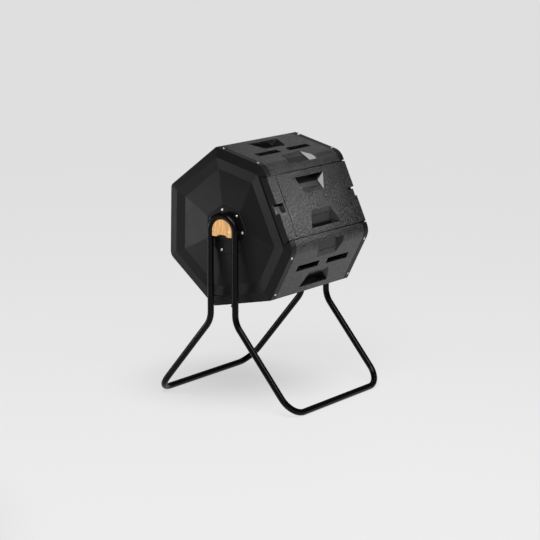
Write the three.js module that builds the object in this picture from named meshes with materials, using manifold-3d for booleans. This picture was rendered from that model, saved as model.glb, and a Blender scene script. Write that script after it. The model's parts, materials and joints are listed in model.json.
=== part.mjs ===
// Compost tumbler: a seven-sided drum of moulded panels that turns on two stub axles between two
// bent-tube arches. Millimetres, +Z up, origin on the floor under the middle of the drum. The axle
// runs along X and the door side faces -Y.
import * as THREE from "three";
import { ConvexGeometry } from "three/addons/geometries/ConvexGeometry.js";
import { mergeVertices } from "three/addons/utils/BufferGeometryUtils.js";
import Module from "manifold-3d";

const wasm = await Module();
wasm.setup();

// ---------------------------------------------------------------- driving dimensions
const AXLE_HEIGHT = 700;
const SIDES = 7;
const HALF_STEP = Math.PI / SIDES; // half the angle between two neighbouring faces
const DRUM_RADIUS = 325; // to the corners of the heptagon
const APOTHEM = DRUM_RADIUS * Math.cos(HALF_STEP);
const HALF_LENGTH = 266; // axle direction, to the rim of each end cap
const DRUM_TURN = THREE.MathUtils.degToRad(-24.3); // how the drum rests: the door looks a little up
const WALL = 4; // moulded plastic wall
const GAP = 0.4; // assembly gap between touching pieces
const SEAM = 1; // visible seam between neighbouring panels

const DOOR_INSET = 39.8; // the door face lies this far inside the regular heptagon
const DOOR_PLANE = APOTHEM - DOOR_INSET;
const DOOR_HALF_HEIGHT = 127.5;
const DOOR_MOUTH = 131.5; // half the height of the opening between the two panel lips
const LEDGE_DEPTH = 12; // from the door face to the ledge that it rests on
const LIP_RADIUS = 57; // rounded corner of the panels beside the door
const BACK_RADIUS = 36; // rounded corner opposite the door
const SIDE_RADIUS = 20; // the two corners next to it
const SHARP_RADIUS = 6;

const FIELD_HALF = 236; // half length of a panel's raised field, between the cap flanges
const TONGUE_HALF = 260; // the panel ends run under the cap flanges to here
const FLANGE_INNER = 238; // where the cap flange ends

const GRIP_WIDE = { at: 104, half: 98 }; // mouth edge of a grip pocket, far from the middle
const GRIP_NARROW = { at: 35.5, half: 64 }; // mouth edge near the middle, where the floor runs out
const GRIP_DEEP = { half: 74, depth: 29 };
const VENT = { from: 29, to: 175, half: 13.5, depth: 20 };
const POCKET_WALL = 3;
const PATTERN_SHIFT = 9; // grips and vents sit off centre on the two panels beside the door

const CAP_INSET = 34; // the cap's inner outlines lie this far in along the door
const RIDGE = { radius: 284.6, x: 276 }; // end cap: highest line of the border
const TROUGH = { radius: 239.5, x: 272.5 }; // foot of the pyramid
const SEAT = { radius: 105, x: 288 }; // flat top of the pyramid under the hub plate
const CAP_WALL = 4;

const HUB_RADIUS = 101;
const HUB_FACE = 292;
const HUB_BACK = SEAT.x + GAP;
const BOLT_CIRCLE = 80.6;
const BOLT_RADIUS = 3;
const AXLE_RADIUS = 14;
const AXLE_END = 314;
const BACKING_FACE = SEAT.x - CAP_WALL - GAP;
const BACKING_THICK = 3.6;

const TUBE_RADIUS = 12.7; // across the flats of the tube's section
const TUBE_WALL = 1.5;
const TUBE_SIDES = 16;
const ARCH_X = 312;
const ARCH_RADIUS = 60;
const ARCH_END = 385; // lower end of the arch legs
const SPIGOT_TOP = 440; // the leg tube's swaged end reaches up to here inside the arch tube
const KNEE_HEIGHT = 341; // where the leg turns outwards, at the tangents' crossing
const KNEE_RADIUS = 95;
const FOOT_Y = 332;
const FOOT_RADIUS = 80;
const JOINT_HEIGHT = 410;
const TIE_HEIGHT = 441;
const TIE_RADIUS = 2;

const BRACKET = { near: 295, far: 298.6, half: 62, bottom: -36 };
const BLOCK = { near: 299.2, far: 318, radius: 46.5, bottom: -22 };
const BLOCK_SCREW_Y = 35;
const NOTCH = { top: 15, bottom: 26, depth: 8 };

// ---------------------------------------------------------------- solids
const toSolid = (geometry) => {
  const bare = geometry.index ? geometry.toNonIndexed() : geometry.clone();
  bare.deleteAttribute("normal");
  bare.deleteAttribute("uv");
  const merged = mergeVertices(bare, 1e-4);
  return new wasm.Manifold(
    new wasm.Mesh({
      numProp: 3,
      vertProperties: merged.attributes.position.array,
      triVerts: new Uint32Array(merged.index.array),
    }),
  );
};

const toGeometry = (solid) => {
  const mesh = solid.getMesh();
  const geometry = new THREE.BufferGeometry();
  const position = new Float32Array(mesh.numVert * 3);
  for (let i = 0; i < mesh.numVert; i++) {
    position.set(mesh.vertProperties.subarray(i * mesh.numProp, i * mesh.numProp + 3), i * 3);
  }
  geometry.setAttribute("position", new THREE.BufferAttribute(position, 3));
  geometry.setIndex(new THREE.BufferAttribute(mesh.triVerts, 1));
  geometry.computeVertexNormals();
  return geometry;
};

const join = (...solids) => solids.reduce((a, b) => a.add(b));
const cut = (body, ...tools) => tools.reduce((a, b) => a.subtract(b), body);

const box = (x0, x1, y0, y1, z0, z1) =>
  toSolid(
    new THREE.BoxGeometry(x1 - x0, y1 - y0, z1 - z0).translate(
      (x0 + x1) / 2,
      (y0 + y1) / 2,
      (z0 + z1) / 2,
    ),
  );

// A section drawn in Y and Z, run along X.
const alongX = (shape, x0, x1) => {
  const depth = x1 - x0;
  const geometry = new THREE.ExtrudeGeometry(shape, { depth, bevelEnabled: false, curveSegments: 12 });
  const turn = new THREE.Matrix4().makeBasis(
    new THREE.Vector3(0, 1, 0),
    new THREE.Vector3(0, 0, 1),
    new THREE.Vector3(1, 0, 0),
  );
  return toSolid(geometry.applyMatrix4(turn).translate(x0, 0, 0));
};

const rodX = (radius, x0, x1, y, z, sides = 24) =>
  toSolid(
    new THREE.CylinderGeometry(radius, radius, x1 - x0, sides)
      .rotateZ(-Math.PI / 2)
      .translate((x0 + x1) / 2, y, z),
  );

const rodY = (radius, y0, y1, x, z, sides = 24) =>
  toSolid(
    new THREE.CylinderGeometry(radius, radius, y1 - y0, sides).translate(x, (y0 + y1) / 2, z),
  );

const hull = (points) => toSolid(new ConvexGeometry(points.map((p) => new THREE.Vector3(...p))));

const shapeOf = (points) => new THREE.Shape(points.map(([y, z]) => new THREE.Vector2(y, z)));

// A turned piece: profile points are [distance along the axis, radius], the axis is X.
const turned = (profile, sides) => {
  const points = profile.map(([along, radius]) => new THREE.Vector2(radius, along));
  return toSolid(new THREE.LatheGeometry(points, sides).rotateZ(-Math.PI / 2));
};

// ---------------------------------------------------------------- materials
const plastic = (roughness) =>
  new THREE.MeshStandardMaterial({ color: 0x1c1c1d, roughness, metalness: 0 });
const finish = {
  grained: plastic(0.7),
  smooth: plastic(0.45),
  paint: new THREE.MeshStandardMaterial({ color: 0x0a0a0b, roughness: 0.3, metalness: 0.1 }),
  hub: new THREE.MeshStandardMaterial({ color: 0x0d0d0e, roughness: 0.4, metalness: 0.2 }),
  wood: new THREE.MeshStandardMaterial({ color: 0xd9a05b, roughness: 0.6, metalness: 0 }),
  zinc: new THREE.MeshStandardMaterial({ color: 0xb8b9bb, roughness: 0.35, metalness: 1 }),
  steel: new THREE.MeshStandardMaterial({ color: 0x8c8d90, roughness: 0.4, metalness: 1 }),
  nylon: new THREE.MeshStandardMaterial({ color: 0x2a2a2a, roughness: 0.5, metalness: 0 }),
};

const piece = (name, solid, material) => {
  const mesh = new THREE.Mesh(toGeometry(solid.simplify(0.02)), material);
  mesh.name = name;
  return mesh;
};

// ---------------------------------------------------------------- panels
// A panel is drawn lying flat on top of the drum: X along the axle, Y across the face, Z outwards
// from the axle. Positive face distance (towards the next face) is -Y.

// Outer line of an ordinary panel end at a depth below the face, from the flat to the bisector.
const cornerArc = (depth, radius, side) => {
  const inner = Math.max(radius - depth, 0.5);
  const height = APOTHEM - depth;
  const start = height * Math.tan(HALF_STEP) - inner * Math.tan(HALF_STEP);
  const points = [];
  const steps = 4;
  for (let i = 0; i <= steps; i++) {
    const angle = (HALF_STEP * i) / steps;
    points.push([side * (start + inner * Math.sin(angle)), height - inner + inner * Math.cos(angle)]);
  }
  return points;
};

// The door plane's own axes, seen from the panel beside it: distance across the door, and outwards.
const doorPoint = (across, out) => {
  const turn = 2 * HALF_STEP;
  return [
    -(out * Math.sin(turn) - across * Math.cos(turn)),
    out * Math.cos(turn) + across * Math.sin(turn),
  ];
};

// Outer line of the rounded lip beside the door, at a depth below the face.
const lipArc = (depth) => {
  const radius = LIP_RADIUS - depth;
  const height = APOTHEM - depth;
  const doorOut = DOOR_PLANE - depth;
  const turn = 2 * HALF_STEP;
  const corner = (doorOut - height * Math.cos(turn)) / Math.sin(turn);
  const centre = corner - radius * Math.tan(HALF_STEP);
  const points = [];
  const steps = 8;
  for (let i = 0; i <= steps; i++) {
    const angle = (turn * i) / steps;
    points.push([-(centre + radius * Math.sin(angle)), height - radius + radius * Math.cos(angle)]);
  }
  points.push(doorPoint(DOOR_MOUTH, doorOut));
  return points;
};

const skinLine = (depth, radii, hasLip) => {
  const right = hasLip ? lipArc(depth) : cornerArc(depth, radii.next, -1);
  return [...cornerArc(depth, radii.before, 1).reverse(), ...right];
};

const band = (top, thick, radii, hasLip) =>
  shapeOf([...skinLine(top, radii, hasLip), ...skinLine(top + thick, radii, hasLip).reverse()]);

// All that lies under a panel's outer skin.
const envelope = (radii, hasLip) => {
  const inner = hasLip ? [doorPoint(DOOR_MOUTH, DOOR_PLANE - 70)] : [];
  return alongX(shapeOf([...skinLine(0, radii, hasLip), ...inner, [0, 40]]), -300, 300);
};

// Everything between the two bisector planes of a face, less the seam.
const sector = (hasLip) => {
  const reach = 2 * APOTHEM;
  const spread = reach * Math.tan(HALF_STEP);
  const start = SEAM / 2 / Math.sin(HALF_STEP);
  const right = hasLip ? [[-2 * spread, reach], [-2 * spread, 0]] : [[-spread, start + reach]];
  return alongX(shapeOf([[0, start], ...right.reverse(), [spread, start + reach]]), -300, 300);
};

// A wedge-shaped finger pocket: deep at its outer edge, its floor rising to the face near the middle.
const gripPoints = (face, sign, shift, grow, above) => {
  const wide = sign * (GRIP_WIDE.at + grow) + shift;
  const narrow = sign * (GRIP_NARROW.at - grow) + shift;
  const low = face - GRIP_DEEP.depth - grow;
  const points = [];
  for (const x of [-1, 1]) {
    points.push([x * (GRIP_WIDE.half + grow), wide, face + above]);
    points.push([x * (GRIP_NARROW.half + grow), narrow, face + above]);
    points.push([x * (GRIP_DEEP.half + grow), wide, low]);
  }
  return points;
};

const addGrip = (body, face, sign, shift) =>
  cut(
    join(body, hull(gripPoints(face, sign, shift, POCKET_WALL, -1))),
    hull([
      ...gripPoints(face, sign, shift, 0, 0),
      ...gripPoints(face, sign, shift, 0, 2).filter((p) => p[2] > face),
    ]),
  );

// An open slot with a sleeve round it on the inside.
const addVent = (body, side, shift) => {
  const [x0, x1] = side > 0 ? [VENT.from, VENT.to] : [-VENT.to, -VENT.from];
  const [y0, y1] = [shift - VENT.half, shift + VENT.half];
  const w = POCKET_WALL;
  const sleeve = box(x0 - w, x1 + w, y0 - w, y1 + w, APOTHEM - VENT.depth, APOTHEM - 1);
  return cut(join(body, sleeve), box(x0, x1, y0, y1, APOTHEM - 40, APOTHEM + 2));
};

// Stiffening flange along a seam, folded inwards beside the bisector plane.
const seamFlange = (side, radius) => {
  const reach = 22;
  const along = [Math.sin(HALF_STEP), Math.cos(HALF_STEP)];
  const across = [Math.cos(HALF_STEP), -Math.sin(HALF_STEP)];
  const at = (out, inwards) => [
    side * (out * along[0] - inwards * across[0]),
    out * along[1] - inwards * across[1],
  ];
  const top = DRUM_RADIUS - radius * (1 / Math.cos(HALF_STEP) - 1) - 3;
  return shapeOf([at(top, 0), at(top, WALL), at(top - reach, WALL), at(top - reach, 0)]);
};

// The folded edge beside the door, with the ledge that the closed door rests on.
const doorLedge = () => {
  const ledgeTop = DOOR_PLANE - LEDGE_DEPTH;
  const inner = DOOR_MOUTH - 17;
  return shapeOf([
    doorPoint(DOOR_MOUTH + WALL, DOOR_PLANE - 1),
    doorPoint(DOOR_MOUTH, DOOR_PLANE - 1),
    doorPoint(DOOR_MOUTH, ledgeTop),
    doorPoint(inner, ledgeTop),
    doorPoint(inner, ledgeTop - WALL),
    doorPoint(DOOR_MOUTH + WALL, ledgeTop - WALL),
  ]);
};

const buildPanel = (radii, hasLip, shift) => {
  const joggle = WALL + GAP;
  const field = alongX(band(0, WALL, radii, hasLip), -FIELD_HALF, FIELD_HALF);
  const tongue = alongX(band(joggle, WALL, radii, hasLip), -TONGUE_HALF, TONGUE_HALF);
  const steps = [-1, 1].map((end) => {
    const inner = FIELD_HALF - 5;
    const [x0, x1] = end > 0 ? [inner, FIELD_HALF] : [-FIELD_HALF, -inner];
    return alongX(band(WALL - 1, 2 + GAP, radii, hasLip), x0, x1);
  });
  const hollow = alongX(band(joggle - 1, WALL + 3, radii, hasLip), 5 - FIELD_HALF, FIELD_HALF - 5);
  const ends = join(cut(tongue, hollow), ...steps);
  let body = join(field, ends);
  const flangeHalf = FIELD_HALF - 1;
  body = body.add(alongX(seamFlange(1, radii.before), -flangeHalf, flangeHalf));
  if (!hasLip) body = body.add(alongX(seamFlange(-1, radii.next), -flangeHalf, flangeHalf));
  for (const sign of [-1, 1]) {
    body = addGrip(body, APOTHEM, sign, shift);
    body = addVent(body, sign, shift);
  }
  body = body.intersect(envelope(radii, hasLip));
  if (hasLip) body = body.add(alongX(doorLedge(), -flangeHalf, flangeHalf));
  return body.intersect(sector(hasLip));
};

// ---------------------------------------------------------------- door
const DOOR_END = 266.5;
const SKIRT = { top: DOOR_PLANE - 2, bottom: DOOR_PLANE - 27, out: 6, half: 137 };
const GROOVE = { from: 209, to: 215, depth: 2 };
const CATCH_WINDOW = { inner: 224, half: 19, skirt: DOOR_PLANE - 18 };
const CATCH = { top: DOOR_PLANE - 12, bottom: DOOR_PLANE - 18.5, inner: 217, outer: 273, face: 11.5 };

const doorSkirt = (end) => {
  const points = [];
  for (const side of [-1, 1]) {
    for (const inwards of [0, 3.5]) {
      points.push([end * (DOOR_END - inwards), side * DOOR_HALF_HEIGHT, SKIRT.top]);
      points.push([end * (DOOR_END + SKIRT.out - inwards), side * SKIRT.half, SKIRT.bottom]);
    }
  }
  return hull(points);
};

const buildDoor = () => {
  const h = DOOR_HALF_HEIGHT;
  const rimEnd = FIELD_HALF - 1;
  const rimFoot = DOOR_PLANE - LEDGE_DEPTH + 1;
  let body = box(-DOOR_END, DOOR_END, -h, h, DOOR_PLANE - WALL, DOOR_PLANE);
  body = body.add(box(-rimEnd, rimEnd, h - WALL, h, rimFoot, DOOR_PLANE - 1));
  body = body.add(box(-rimEnd, rimEnd, -h, WALL - h, rimFoot, DOOR_PLANE - 1));
  for (const end of [-1, 1]) {
    body = body.add(doorSkirt(end));
    const span = (a, b) => (end > 0 ? [a, b] : [-b, -a]);
    const [g0, g1] = span(GROOVE.from, GROOVE.to);
    body = body.subtract(box(g0, g1, 6 - h, h - 6, DOOR_PLANE - GROOVE.depth, DOOR_PLANE + 1));
    const [w0, w1] = span(CATCH_WINDOW.inner, DOOR_END + 20);
    const half = CATCH_WINDOW.half;
    body = body.subtract(box(w0, w1, -half, half, CATCH_WINDOW.skirt, DOOR_PLANE + 1));
    const [c0, c1] = span(CATCH.inner, CATCH.outer);
    const [r0, r1] = span(CATCH.inner, CATCH_WINDOW.inner);
    body = body.add(box(c0, c1, -half - 1, CATCH.face, CATCH.bottom, CATCH.top));
    body = body.add(box(r0, r1, -half - 1, CATCH.face, CATCH.bottom, DOOR_PLANE - 2));
  }
  for (const sign of [-1, 1]) body = addGrip(body, DOOR_PLANE, sign, 0);
  return body;
};

// ---------------------------------------------------------------- end caps
// Heptagon with rounded corners and the door side moved in. The first corner follows the door, and
// the door looks along -Y. Each corner gives the same number of points, so rings can be skinned.
const CORNER_STEPS = 4;
const heptagon = (radius, inset, roundings) => {
  const apothem = radius * Math.cos(HALF_STEP);
  const lines = [];
  for (let k = 0; k < SIDES; k++) {
    const angle = Math.PI / 2 + 2 * HALF_STEP * k; // from +Z towards -Y
    lines.push({ y: -Math.sin(angle), z: Math.cos(angle), d: apothem - (k === 0 ? inset : 0) });
  }
  const points = [];
  lines.forEach((a, k) => {
    const b = lines[(k + 1) % SIDES];
    const r = roundings[k];
    const det = a.y * b.z - a.z * b.y;
    const cy = ((a.d - r) * b.z - (b.d - r) * a.z) / det;
    const cz = (a.y * (b.d - r) - b.y * (a.d - r)) / det;
    for (let i = 0; i <= CORNER_STEPS; i++) {
      const angle = Math.PI / 2 + 2 * HALF_STEP * (k + i / CORNER_STEPS);
      points.push([cy - r * Math.sin(angle), cz + r * Math.cos(angle)]);
    }
  });
  return points;
};

const RIM_ROUNDINGS = [
  LIP_RADIUS,
  SHARP_RADIUS,
  SIDE_RADIUS,
  BACK_RADIUS,
  SIDE_RADIUS,
  SHARP_RADIUS,
  LIP_RADIUS,
];
const softer = (share, least) => RIM_ROUNDINGS.map((r) => Math.max(r * share, least));

// Skins a closed loop of rings, each a list of [y, z] at one x.
const loft = (rings) => {
  const count = rings[0].points.length;
  const position = [];
  for (const ring of rings) for (const [y, z] of ring.points) position.push(ring.x, y, z);
  const index = [];
  rings.forEach((_, i) => {
    const a = i * count;
    const b = ((i + 1) % rings.length) * count;
    for (let j = 0; j < count; j++) {
      const k = (j + 1) % count;
      index.push(a + j, b + j, b + k, a + j, b + k, a + k);
    }
  });
  const geometry = new THREE.BufferGeometry();
  geometry.setAttribute("position", new THREE.Float32BufferAttribute(position, 3));
  geometry.setIndex(index);
  const solid = toSolid(geometry);
  if (solid.volume() > 0) return solid;
  index.reverse();
  geometry.setIndex(index);
  return toSolid(geometry);
};

const boltSpots = (radius) => {
  const spots = [];
  for (let k = 0; k < SIDES; k++) {
    const angle = Math.PI / 2 + HALF_STEP * (2 * k + 1);
    spots.push([-radius * Math.sin(angle), radius * Math.cos(angle)]);
  }
  return spots;
};

// The cap at the -X end of the drum. The other one is the same part turned about Y.
const buildCap = () => {
  const w = CAP_WALL;
  const rim = (depth) => heptagon(DRUM_RADIUS - depth / Math.cos(HALF_STEP), DOOR_INSET, softer(1, 2));
  const rimInside = heptagon(
    DRUM_RADIUS - w / Math.cos(HALF_STEP),
    DOOR_INSET,
    RIM_ROUNDINGS.map((r) => Math.max(r - w, 2)),
  );
  const ridge = (depth) => heptagon(RIDGE.radius - depth, CAP_INSET, softer(0.4, 3));
  const trough = (depth) => heptagon(TROUGH.radius - depth, CAP_INSET, softer(0.1, 2));
  const seat = (depth) => heptagon(SEAT.radius - depth, 0, softer(0, 1));
  const hole = heptagon(AXLE_RADIUS + 3, 0, softer(0, (AXLE_RADIUS + 3) * 0.8));
  const shell = loft([
    { x: -FLANGE_INNER, points: rim(0) },
    { x: -HALF_LENGTH, points: rim(0) },
    { x: -RIDGE.x, points: ridge(0) },
    { x: -TROUGH.x, points: trough(0) },
    { x: -SEAT.x, points: seat(0) },
    { x: -SEAT.x, points: hole },
    { x: w - SEAT.x, points: hole },
    { x: w - SEAT.x, points: seat(2) },
    { x: w - TROUGH.x, points: trough(2) },
    { x: w - RIDGE.x, points: ridge(2) },
    { x: w - HALF_LENGTH, points: rimInside },
    { x: -FLANGE_INNER, points: rimInside },
  ]);
  const lip = RIDGE.radius * Math.cos(HALF_STEP) - CAP_INSET; // the ridge beside the door
  const mouth = alongX(
    shapeOf([
      [-lip - 0.5, -140],
      [-lip - 0.5, 140],
      [-DOOR_PLANE - 5, DOOR_MOUTH],
      [-DOOR_PLANE - 5, -DOOR_MOUTH],
    ]),
    -300,
    -200,
  );
  const backWall = box(-262, -258.5, -233, -lip + 5, -139, 139);
  const shelf = box(-RIDGE.x + 1.5, -258.5, -lip, -lip + 4, -137, 137);
  const holes = boltSpots(BOLT_CIRCLE).map(([y, z]) => rodX(BOLT_RADIUS + GAP, -300, -270, y, z, 12));
  return cut(join(cut(shell, mouth), backWall, shelf), ...holes);
};

// ---------------------------------------------------------------- hubs
const hubPlate = (radius, x0, x1, bevel, hole) => {
  const spots = boltSpots(1).map(([y, z]) => new THREE.Vector2(y, z));
  const outer = spots.map((p) => p.clone().multiplyScalar(radius));
  const inner = spots.map((p) => p.clone().multiplyScalar(radius - bevel));
  const points = [];
  for (const p of outer) points.push([x1, p.x, p.y], [x0 + bevel, p.x, p.y]);
  for (const p of inner) points.push([x0, p.x, p.y]);
  const holes = boltSpots(BOLT_CIRCLE).map(([y, z]) => rodX(BOLT_RADIUS + GAP, x0 - 2, x1 + 2, y, z, 12));
  return cut(hull(points), rodX(hole, x0 - 2, x1 + 2, 0, 0, 32), ...holes);
};

const buildHubPlate = () => hubPlate(HUB_RADIUS, -HUB_FACE, -HUB_BACK, 2.2, AXLE_RADIUS + GAP);
const buildBacking = () =>
  hubPlate(HUB_RADIUS - 6, -BACKING_FACE, BACKING_THICK - BACKING_FACE, 0.6, AXLE_RADIUS + GAP);

// Stub axle: runs from the wooden block through the plates to a collar inside the drum.
const buildAxle = () => {
  const collar = BACKING_FACE - BACKING_THICK - GAP;
  const chamfer = 1.5;
  return turned(
    [
      [-AXLE_END, 0],
      [-AXLE_END, AXLE_RADIUS - chamfer],
      [chamfer - AXLE_END, AXLE_RADIUS],
      [-collar, AXLE_RADIUS],
      [-collar, 26],
      [6 - collar, 26],
      [6 - collar, 0],
    ],
    32,
  );
};

const buildWasher = () => {
  const inside = AXLE_RADIUS + GAP;
  const near = 0.3 - BRACKET.near;
  const far = -0.3 - HUB_FACE;
  return turned([[near, inside], [near, 24], [far, 24], [far, inside], [near, inside]], 32);
};

// Bolt with its domed head outside and its nut inside the drum.
const buildHubBolt = () => {
  const nut = BACKING_FACE - BACKING_THICK - GAP;
  const head = 2.4;
  const shank = turned(
    [
      [-HUB_FACE - head, 0],
      [-HUB_FACE - head, 2.4],
      [-HUB_FACE - head * 0.6, 4.6],
      [-HUB_FACE - GAP / 2, 5.6],
      [-HUB_FACE - GAP / 2, BOLT_RADIUS],
      [8 - nut, BOLT_RADIUS],
      [8 - nut, 0],
    ],
    12,
  );
  return join(shank, rodX(5.8, -nut, 5.5 - nut, 0, 0, 6));
};

// ---------------------------------------------------------------- stand
// A path of straight runs and circular bends, given by its corners and a bend radius at each inner
// one. Sections are placed only where the path starts, ends or bends.
class BentPath extends THREE.Curve {
  constructor(corners, radii, bendSteps) {
    super();
    this.stations = [];
    const point = (p) => p.clone();
    corners.forEach((corner, i) => {
      const before = i > 0 ? corner.clone().sub(corners[i - 1]).normalize() : null;
      const after = i < corners.length - 1 ? corners[i + 1].clone().sub(corner).normalize() : null;
      if (!before || !after) {
        this.stations.push({ point: point(corner), tangent: before || after });
        return;
      }
      const turn = before.angleTo(after);
      const reach = radii[i] * Math.tan(turn / 2);
      const start = corner.clone().addScaledVector(before, -reach);
      const side = after.clone().addScaledVector(before, -after.dot(before)).normalize();
      for (let k = 0; k <= bendSteps[i]; k++) {
        const angle = (turn * k) / bendSteps[i];
        const p = start.clone().addScaledVector(before, radii[i] * Math.sin(angle));
        p.addScaledVector(side, radii[i] * (1 - Math.cos(angle)));
        const tangent = before.clone().multiplyScalar(Math.cos(angle));
        this.stations.push({ point: p, tangent: tangent.addScaledVector(side, Math.sin(angle)) });
      }
    });
  }
  station(u) {
    return this.stations[Math.round(u * (this.stations.length - 1))];
  }
  getPoint(u) {
    return this.station(u).point.clone();
  }
  getPointAt(u) {
    return this.getPoint(u);
  }
  getTangent(u) {
    return this.station(u).tangent.clone();
  }
  getTangentAt(u) {
    return this.getTangent(u);
  }
}

const ringShape = (radius, wall, turn) => {
  const circle = (r, Kind) => {
    const corner = r / Math.cos(Math.PI / TUBE_SIDES);
    const made = new Kind();
    for (let i = 0; i < TUBE_SIDES; i++) {
      const angle = turn + ((i + 0.5) * 2 * Math.PI) / TUBE_SIDES;
      const at = [corner * Math.cos(angle), corner * Math.sin(angle)];
      if (i === 0) made.moveTo(...at);
      else made.lineTo(...at);
    }
    made.closePath();
    return made;
  };
  const shape = circle(radius, THREE.Shape);
  shape.holes.push(circle(radius - wall, THREE.Path));
  return shape;
};

const tube = (path, radius, wall, turn) =>
  toSolid(
    new THREE.ExtrudeGeometry(ringShape(radius, wall, turn), {
      steps: path.stations.length - 1,
      extrudePath: path,
      bevelEnabled: false,
    }),
  );

// Arch at the -X end: two upright legs and a half circle round the axle.
const buildArch = () => {
  const top = AXLE_HEIGHT + ARCH_RADIUS;
  const v = (y, z) => new THREE.Vector3(-ARCH_X, y, z);
  const corners = [
    v(ARCH_RADIUS, ARCH_END),
    v(ARCH_RADIUS, top),
    v(-ARCH_RADIUS, top),
    v(-ARCH_RADIUS, ARCH_END),
  ];
  const r = ARCH_RADIUS;
  const path = new BentPath(corners, [0, r, r, 0], [0, 8, 8, 0]);
  path.stations.splice(10, 1); // the two quarter circles meet in one section
  const holes = [-1, 1].map((side) => jointHole(side));
  return cut(tube(path, TUBE_RADIUS, TUBE_WALL, 0), ...holes);
};

const jointHole = (side, x = -ARCH_X) => {
  const [y0, y1] = side > 0 ? [30, ARCH_RADIUS] : [-ARCH_RADIUS, -30];
  return rodY(3, y0, y1, x, JOINT_HEIGHT, 12);
};

// Leg loop on the -Y side: down from one arch, along the floor, and up to the other.
const buildLeg = () => {
  const floor = TUBE_RADIUS;
  const top = ARCH_END - GAP;
  const v = (x, y, z) => new THREE.Vector3(x, y, z);
  const corners = [
    v(-ARCH_X, -ARCH_RADIUS, top),
    v(-ARCH_X, -ARCH_RADIUS, KNEE_HEIGHT),
    v(-ARCH_X, -FOOT_Y, floor),
    v(ARCH_X, -FOOT_Y, floor),
    v(ARCH_X, -ARCH_RADIUS, KNEE_HEIGHT),
    v(ARCH_X, -ARCH_RADIUS, top),
  ];
  const radii = [0, KNEE_RADIUS, FOOT_RADIUS, FOOT_RADIUS, KNEE_RADIUS, 0];
  const path = new BentPath(corners, radii, [0, 5, 8, 8, 5, 0]);
  const splay = Math.atan2(FOOT_Y - ARCH_RADIUS, KNEE_HEIGHT - floor);
  let body = tube(path, TUBE_RADIUS, TUBE_WALL, splay);
  for (const end of [-1, 1]) {
    const spigot = new BentPath(
      [v(end * ARCH_X, -ARCH_RADIUS, SPIGOT_TOP), v(end * ARCH_X, -ARCH_RADIUS, ARCH_END - 14)],
      [0, 0],
      [0, 0],
    );
    const collar = new BentPath(
      [v(end * ARCH_X, -ARCH_RADIUS, top - 1), v(end * ARCH_X, -ARCH_RADIUS, ARCH_END - 13)],
      [0, 0],
      [0, 0],
    );
    const inner = TUBE_RADIUS - TUBE_WALL - GAP;
    body = join(body, tube(collar, TUBE_RADIUS - 0.6, 2.4, splay), tube(spigot, inner, TUBE_WALL, splay));
    body = body.subtract(jointHole(-1, end * ARCH_X));
  }
  return body;
};

const buildJointScrew = () => {
  const inner = -ARCH_RADIUS + TUBE_RADIUS;
  const profile = [
    [0, 0],
    [0, 2.4],
    [6, 2.4],
    [6, 0],
  ];
  const headProfile = [
    [-4.4, 0],
    [-4.4, 3],
    [-3, 6.2],
    [-0.3, 7],
    [-0.3, 2.4],
    [1, 2.4],
    [1, 0],
  ];
  const screw = join(turned(headProfile, 12), turned(profile, 12));
  return { screw, inner };
};

const buildTie = () =>
  rodY(TIE_RADIUS, TUBE_RADIUS + GAP - ARCH_RADIUS, ARCH_RADIUS - TUBE_RADIUS - GAP, 0, 0, 12);

// Outline of the half-round plate and block: an arch on top of straight sides.
const archOutline = (radius, bottom, notch) => {
  const points = [];
  const steps = 20;
  for (let i = 0; i <= steps; i++) {
    const angle = (Math.PI * i) / steps;
    points.push([radius * Math.cos(angle), radius * Math.sin(angle)]);
  }
  points.push([-radius, bottom]);
  if (notch) {
    points.push([-notch.bottom, bottom], [-notch.top, bottom + notch.depth]);
    points.push([notch.top, bottom + notch.depth], [notch.bottom, bottom]);
  }
  points.push([radius, bottom]);
  return shapeOf(points);
};

const blockScrewHoles = (x0, x1, radius) =>
  [-1, 1].map((side) => rodX(radius, x0, x1, side * BLOCK_SCREW_Y, -1, 12));

const buildBracket = () =>
  cut(
    alongX(archOutline(BRACKET.half, BRACKET.bottom), -BRACKET.far, -BRACKET.near),
    rodX(AXLE_RADIUS + 1.5, -BRACKET.far - 1, -BRACKET.near + 1, 0, 0, 32),
    ...blockScrewHoles(-BRACKET.far - 1, -BRACKET.near + 1, 2.6),
  );

const buildBlock = () =>
  cut(
    alongX(archOutline(BLOCK.radius, BLOCK.bottom, NOTCH), -BLOCK.far, -BLOCK.near),
    rodX(AXLE_RADIUS + 0.5, -AXLE_END - 0.5, -BLOCK.near + 1, 0, 0, 32),
    ...blockScrewHoles(-BLOCK.far - 1, -BLOCK.near + 1, 2.6),
  );

const buildBlockScrew = () =>
  turned(
    [
      [-BLOCK.far - 2.2, 0],
      [-BLOCK.far - 2.2, 2],
      [-BLOCK.far - 1.4, 3.8],
      [-BLOCK.far - 0.3, 4.5],
      [-BLOCK.far - 0.3, 2.2],
      [-BRACKET.near - 0.3, 2.2],
      [-BRACKET.near - 0.3, 0],
    ],
    12,
  );

// ---------------------------------------------------------------- assembly
const tumbler = new THREE.Group();

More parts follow.
